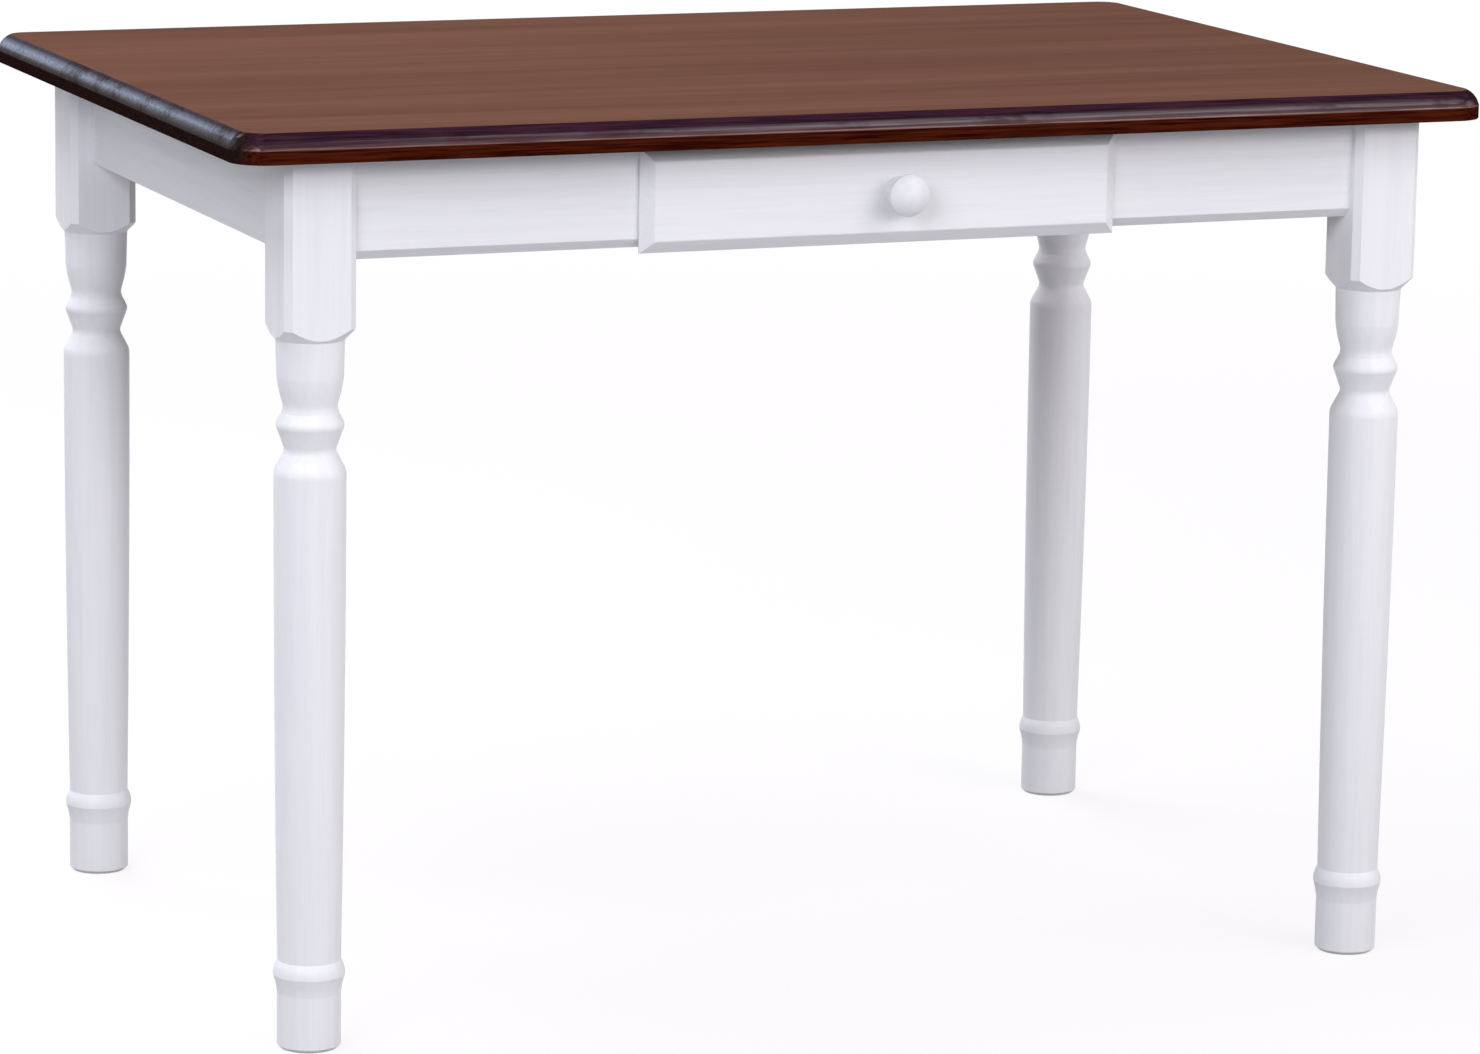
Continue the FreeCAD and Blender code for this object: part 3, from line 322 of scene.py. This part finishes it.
# The knob's white is set a little greyer than the other paint: painted shade that darkens the whole
# knob.
dress(painted("white_paint_greyed_as_shade_on_knob", ALONG_Y, "#e7e7eb", "#ececef"), "drawer_knob")
dress(bare("pine_across_the_table", ALONG_X, (0, 0.03, -0.64)), "drawer_back", "drawer_stop")
dress(bare("pine_along_the_drawer", ALONG_Y, (0, 0.03, -0.66)),
      "drawer_side_left", "drawer_side_right", "drawer_runner_left", "drawer_runner_right")
dress(bare("pine_corner_block_rising", RISING, (0, 0.03, -0.62)),
      "corner_block_front_right", "corner_block_back_left")
dress(bare("pine_corner_block_falling", FALLING, (0, 0.03, -0.62)),
      "corner_block_front_left", "corner_block_back_right")
dress(bare("birch_plywood", ALONG_X, (0, 0.03, -0.3), "#dec69c", "#c9a978", 9.0), "drawer_bottom")
dress(bare("beech_dowel", ALONG_Y, (0, 0, -0.5), "#cfa36b", "#b98a55", 2.0), "drawer_dowels")
dress(zinc(), "hanger_bolts", "bolt_washers", "bolt_nuts", "corner_block_screws", "top_brackets",
      "bracket_screws", "runner_screws", "stop_screw", "knob_screw")


# ---------------------------------------------------------------- studio

def softbox(name, place, aim, size, power, colour):
    """A soft rectangular lamp at a place, facing a point."""
    lamp = bpy.data.lights.new(name, "AREA")
    lamp.shape = "RECTANGLE"
    lamp.size, lamp.size_y = size
    lamp.energy = power
    lamp.color = srgb(colour)[:3]
    holder = bpy.data.objects.new(name, lamp)
    scene.collection.objects.link(holder)
    holder.location = place
    holder.rotation_euler = (Vector(aim) - Vector(place)).to_track_quat("-Z", "Y").to_euler()
    holder.visible_camera = False


TABLE_MIDDLE = (0, -0.1, 0.55)
TABLE_TOP = (-0.2, 0, 0.75)
LEFT_EDGE = (-0.5, 0, 0.77)
softbox("front_left_softbox", (-2.88, -2.88, 2.45), TABLE_MIDDLE, (2.0, 1.6), 62, "#f5f8ff")
softbox("front_right_softbox", (1.82, -2.17, 3.38), TABLE_MIDDLE, (2.0, 1.6), 37, "#fffdfd")
softbox("right_softbox", (3.63, -0.97, 1.92), TABLE_MIDDLE, (2.0, 1.6), 15, "#fcfcff")
softbox("front_strip", (1.25, -3.6, 1.85), TABLE_MIDDLE, (3.4, 0.9), 43, "#fffafa")
softbox("left_top_softbox", (-1.69, 0.0, 3.73), TABLE_MIDDLE, (2.4, 1.8), 66, "#fbfbff")
softbox("back_softbox", (-0.77, 2.87, 3.72), TABLE_TOP, (2.6, 1.6), 100, "#f9faff")
softbox("left_back_window", (-0.9, 4.3, 1.9), LEFT_EDGE, (1.6, 1.3), 13, "#bccff7")

FLOOR_SIZE = 120
bpy.ops.object.select_all(action="DESELECT")
bpy.ops.mesh.primitive_plane_add(size=FLOOR_SIZE)
floor = bpy.context.object
floor.name = "studio_floor"

# To the camera and in reflections the floor glows white, with a share of matte paint near the table
# that keeps its shadow. It lights the table from below as a mid-grey one.
GLOW_COLOUR, GLOW = "#fffdff", 1.02
GLOW_SHARE_AT_TABLE = 0.8
GLOW_GROWS_FROM, GLOW_FULL_AT = 1.2, 4.5
floor_material = bpy.data.materials.new("matte_white_floor")
floor_material.use_nodes = True
floor_tree = floor_material.node_tree
floor_tree.nodes.clear()
rays = add(floor_tree, "ShaderNodeLightPath")
seen = rays.outputs["Is Camera Ray"]
for ray in ("Is Glossy Ray", "Is Transmission Ray"):
    seen = add(floor_tree, "ShaderNodeMath", {0: seen, 1: rays.outputs[ray]},
               operation="MAXIMUM").outputs[0]
floor_place = add(floor_tree, "ShaderNodeTexCoord").outputs["Object"]
distance = add(floor_tree, "ShaderNodeVectorMath", {0: floor_place}, operation="LENGTH")
glow_share = add(floor_tree, "ShaderNodeMapRange", {
    "Value": distance.outputs["Value"], "From Min": GLOW_GROWS_FROM, "From Max": GLOW_FULL_AT,
    "To Min": GLOW_SHARE_AT_TABLE, "To Max": 1.0}, interpolation_type="SMOOTHSTEP")
glow_share = add(floor_tree, "ShaderNodeMath", {0: seen, 1: glow_share.outputs[0]},
                 operation="MULTIPLY")
paint = add(floor_tree, "ShaderNodeMix", {
    "Factor": seen, COLOUR_A: srgb("#a0a0a2"), COLOUR_B: srgb("#f2f2f4")}, data_type="RGBA")
matte = add(floor_tree, "ShaderNodeBsdfDiffuse", {"Color": paint.outputs[COLOUR_OUT]})
glow = add(floor_tree, "ShaderNodeEmission", {"Color": srgb(GLOW_COLOUR), "Strength": GLOW})
blend = add(floor_tree, "ShaderNodeMixShader", {
    0: glow_share.outputs[0], 1: matte.outputs[0], 2: glow.outputs[0]})
add(floor_tree, "ShaderNodeOutputMaterial", {"Surface": blend.outputs[0]})
floor.data.materials.append(floor_material)

# The studio round the table, in linear light: bright pale walls, which give way to a dimmer, bluer
# ceiling at these slopes, and white behind it all.
WALLS = (0.51, 0.51, 0.535, 1.0)
CEILING = (0.14, 0.145, 0.165, 1.0)
WALLS_END, CEILING_STARTS = 0.35, 0.7
world = bpy.data.worlds.new("studio")
scene.world = world
world.use_nodes = True
sky = world.node_tree
sky.nodes.clear()
heading = add(sky, "ShaderNodeTexCoord").outputs["Generated"]
direction = add(sky, "ShaderNodeSeparateXYZ", {0: heading})
rise = add(sky, "ShaderNodeMapRange", {
    "Value": direction.outputs[2], "From Min": WALLS_END, "From Max": CEILING_STARTS},
    interpolation_type="SMOOTHSTEP")
room = add(sky, "ShaderNodeMix", {
    "Factor": rise.outputs[0], COLOUR_A: WALLS, COLOUR_B: CEILING}, data_type="RGBA")
eye = add(sky, "ShaderNodeLightPath").outputs["Is Camera Ray"]
tint = add(sky, "ShaderNodeMix", {
    "Factor": eye, COLOUR_A: room.outputs[COLOUR_OUT], COLOUR_B: srgb(GLOW_COLOUR)},
    data_type="RGBA")
air = add(sky, "ShaderNodeBackground", {"Color": tint.outputs[COLOUR_OUT], "Strength": 1.0})
add(sky, "ShaderNodeOutputWorld", {"Surface": air.outputs[0]})


# ---------------------------------------------------------------- camera

CAMERA_PLACE = (-2.008600, -4.986210, 1.414147)
CAMERA_YAW, CAMERA_TILT, CAMERA_ROLL = 0.387083, 0.194368, 0.016058
CAMERA_LENS, CAMERA_SENSOR = 146.94, 36
camera_data = bpy.data.cameras.new("camera")
camera_data.sensor_fit = "HORIZONTAL"
camera_data.sensor_width = CAMERA_SENSOR
camera_data.lens = CAMERA_LENS
camera = bpy.data.objects.new("camera", camera_data)
scene.collection.objects.link(camera)
camera.location = CAMERA_PLACE
aimed = Euler((QUARTER - CAMERA_TILT, 0, -CAMERA_YAW)).to_matrix()
camera.rotation_euler = (aimed @ Matrix.Rotation(CAMERA_ROLL, 3, "Z")).to_euler()
scene.camera = camera
